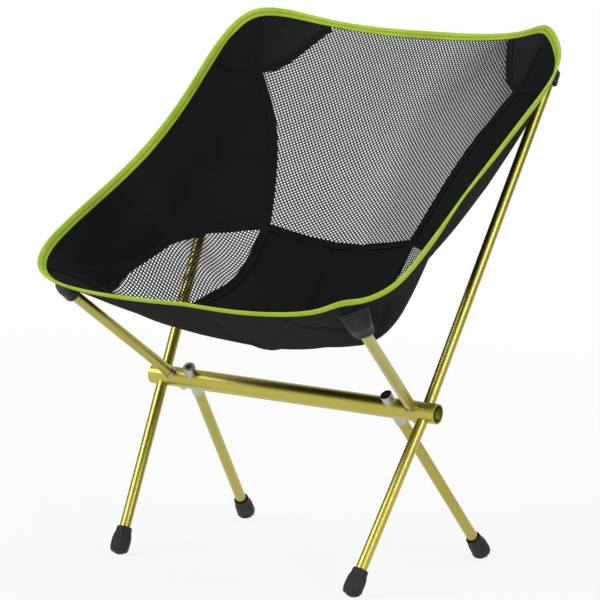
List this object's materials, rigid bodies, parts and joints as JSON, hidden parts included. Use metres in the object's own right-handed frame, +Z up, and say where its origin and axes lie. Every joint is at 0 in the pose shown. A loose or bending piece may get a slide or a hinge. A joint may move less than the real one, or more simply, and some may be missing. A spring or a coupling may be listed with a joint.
{
  "type": "backpacking chair",
  "caption": "Low collapsible camping chair: shock-corded aluminium poles in a round hub tube carry a stitched sling seat with mesh back, side meshes and bright edge binding.",
  "frame": {"origin": "on the ground, at the centre of the outline", "axes": "+Z up, front of the chair towards -Y, hub tube along X"},
  "size_m": [0.4964, 0.5469, 0.6549],
  "materials": {
    "hub_tube": "satin anodised",
    "pole_tubes": "satin anodised",
    "bare_aluminium": "bare, drawn",
    "rubber_feet": "matt moulded",
    "tip_caps": "matt moulded",
    "cord_stops": "matt moulded",
    "elastic_cord": "braided",
    "seat_fabric": "close woven",
    "mesh_fabric": "open mesh",
    "patch_fabric": "ribbed",
    "pocket_fabric": "coated",
    "binding_tape": "grosgrain"
  },
  "bodies": {
    "hub": {"hub_tube": "hub_tube", "seat_pole_socket_left": "bare_aluminium", "rear_leg_socket_left": "bare_aluminium", "hub_ferrule_left": "bare_aluminium", "back_cord_left": "elastic_cord", "front_leg_cord_left": "elastic_cord", "seat_pole_cord_left": "elastic_cord", "rear_leg_cord_left": "elastic_cord", "seat_pole_cord_stop_left": "cord_stops", "rear_leg_cord_stop_left": "cord_stops", "seat_pole_socket_right": "bare_aluminium", "rear_leg_socket_right": "bare_aluminium", "hub_ferrule_right": "bare_aluminium", "back_cord_right": "elastic_cord", "front_leg_cord_right": "elastic_cord", "seat_pole_cord_right": "elastic_cord", "rear_leg_cord_right": "elastic_cord", "seat_pole_cord_stop_right": "cord_stops", "rear_leg_cord_stop_right": "cord_stops"},
    "front_leg_left": {"front_leg_left": "pole_tubes", "front_foot_left": "rubber_feet"},
    "rear_leg_left": {"rear_leg_left": "pole_tubes", "rear_foot_left": "rubber_feet"},
    "front_seat_pole_left": {"front_seat_pole_left": "pole_tubes", "front_tip_cap_left": "tip_caps"},
    "rear_lower_pole_left": {"rear_lower_pole_left": "pole_tubes", "rear_pole_ferrule_left": "bare_aluminium"},
    "rear_upper_pole_left": {"rear_upper_pole_left": "pole_tubes", "rear_tip_cap_left": "tip_caps"},
    "front_leg_right": {"front_leg_right": "pole_tubes", "front_foot_right": "rubber_feet"},
    "rear_leg_right": {"rear_leg_right": "pole_tubes", "rear_foot_right": "rubber_feet"},
    "front_seat_pole_right": {"front_seat_pole_right": "pole_tubes", "front_tip_cap_right": "tip_caps"},
    "rear_lower_pole_right": {"rear_lower_pole_right": "pole_tubes", "rear_pole_ferrule_right": "bare_aluminium"},
    "rear_upper_pole_right": {"rear_upper_pole_right": "pole_tubes", "rear_tip_cap_right": "tip_caps"},
    "sling": {"back_mesh": "mesh_fabric", "seat_panel": "seat_fabric", "binding": "binding_tape", "wing_left": "seat_fabric", "side_mesh_left": "mesh_fabric", "corner_patch_left": "patch_fabric", "corner_wing_left": "seat_fabric", "wing_right": "seat_fabric", "side_mesh_right": "mesh_fabric", "corner_patch_right": "patch_fabric", "corner_wing_right": "seat_fabric", "front_pocket_left": "pocket_fabric", "rear_pocket_left": "pocket_fabric", "front_pocket_right": "pocket_fabric", "rear_pocket_right": "pocket_fabric"}
  },
  "joints": [
    {"name": "front_leg_pull_left", "type": "slide", "parent": "hub", "child": "front_leg_left", "axis": [0.0942, -0.4975, -0.8624], "range_m": [0, 0.06], "stiffness_N_per_m": 200, "springref_m": -0.05},
    {"name": "rear_leg_pull_left", "type": "slide", "parent": "hub", "child": "rear_leg_left", "axis": [-0.115, 0.6591, -0.7432], "range_m": [0, 0.06], "stiffness_N_per_m": 200, "springref_m": -0.05},
    {"name": "seat_pole_pull_left", "type": "slide", "parent": "hub", "child": "front_seat_pole_left", "axis": [-0.1522, -0.8218, 0.549], "range_m": [0, 0.05]},
    {"name": "rear_pole_pull_left", "type": "slide", "parent": "hub", "child": "rear_lower_pole_left", "axis": [-0.0751, 0.4673, 0.8809], "range_m": [0, 0.05]},
    {"name": "rear_joint_pull_left", "type": "slide", "parent": "rear_lower_pole_left", "child": "rear_upper_pole_left", "axis": [-0.0751, 0.4673, 0.8809], "range_m": [0, 0.05]},
    {"name": "front_leg_pull_right", "type": "slide", "parent": "hub", "child": "front_leg_right", "axis": [-0.0942, -0.4975, -0.8624], "range_m": [0, 0.06], "stiffness_N_per_m": 200, "springref_m": -0.05},
    {"name": "rear_leg_pull_right", "type": "slide", "parent": "hub", "child": "rear_leg_right", "axis": [0.115, 0.6591, -0.7432], "range_m": [0, 0.06], "stiffness_N_per_m": 200, "springref_m": -0.05},
    {"name": "seat_pole_pull_right", "type": "slide", "parent": "hub", "child": "front_seat_pole_right", "axis": [0.1522, -0.8218, 0.549], "range_m": [0, 0.05]},
    {"name": "rear_pole_pull_right", "type": "slide", "parent": "hub", "child": "rear_lower_pole_right", "axis": [0.0751, 0.4673, 0.8809], "range_m": [0, 0.05]},
    {"name": "rear_joint_pull_right", "type": "slide", "parent": "rear_lower_pole_right", "child": "rear_upper_pole_right", "axis": [0.0751, 0.4673, 0.8809], "range_m": [0, 0.05]},
    {"name": "seat_lift", "type": "slide", "parent": "hub", "child": "sling", "axis": [0, 0, 1], "range_m": [0, 0.25], "deforming": ["front_pocket_left", "rear_pocket_left", "front_pocket_right", "rear_pocket_right"]}
  ],
  "couplings": [
    {"joint": "seat_pole_pull_left", "follows": "seat_lift", "ratio": 0.2},
    {"joint": "rear_pole_pull_left", "follows": "seat_lift", "ratio": 0.2},
    {"joint": "rear_joint_pull_left", "follows": "seat_lift", "ratio": 0.2},
    {"joint": "seat_pole_pull_right", "follows": "seat_lift", "ratio": 0.2},
    {"joint": "rear_pole_pull_right", "follows": "seat_lift", "ratio": 0.2},
    {"joint": "rear_joint_pull_right", "follows": "seat_lift", "ratio": 0.2}
  ]
}
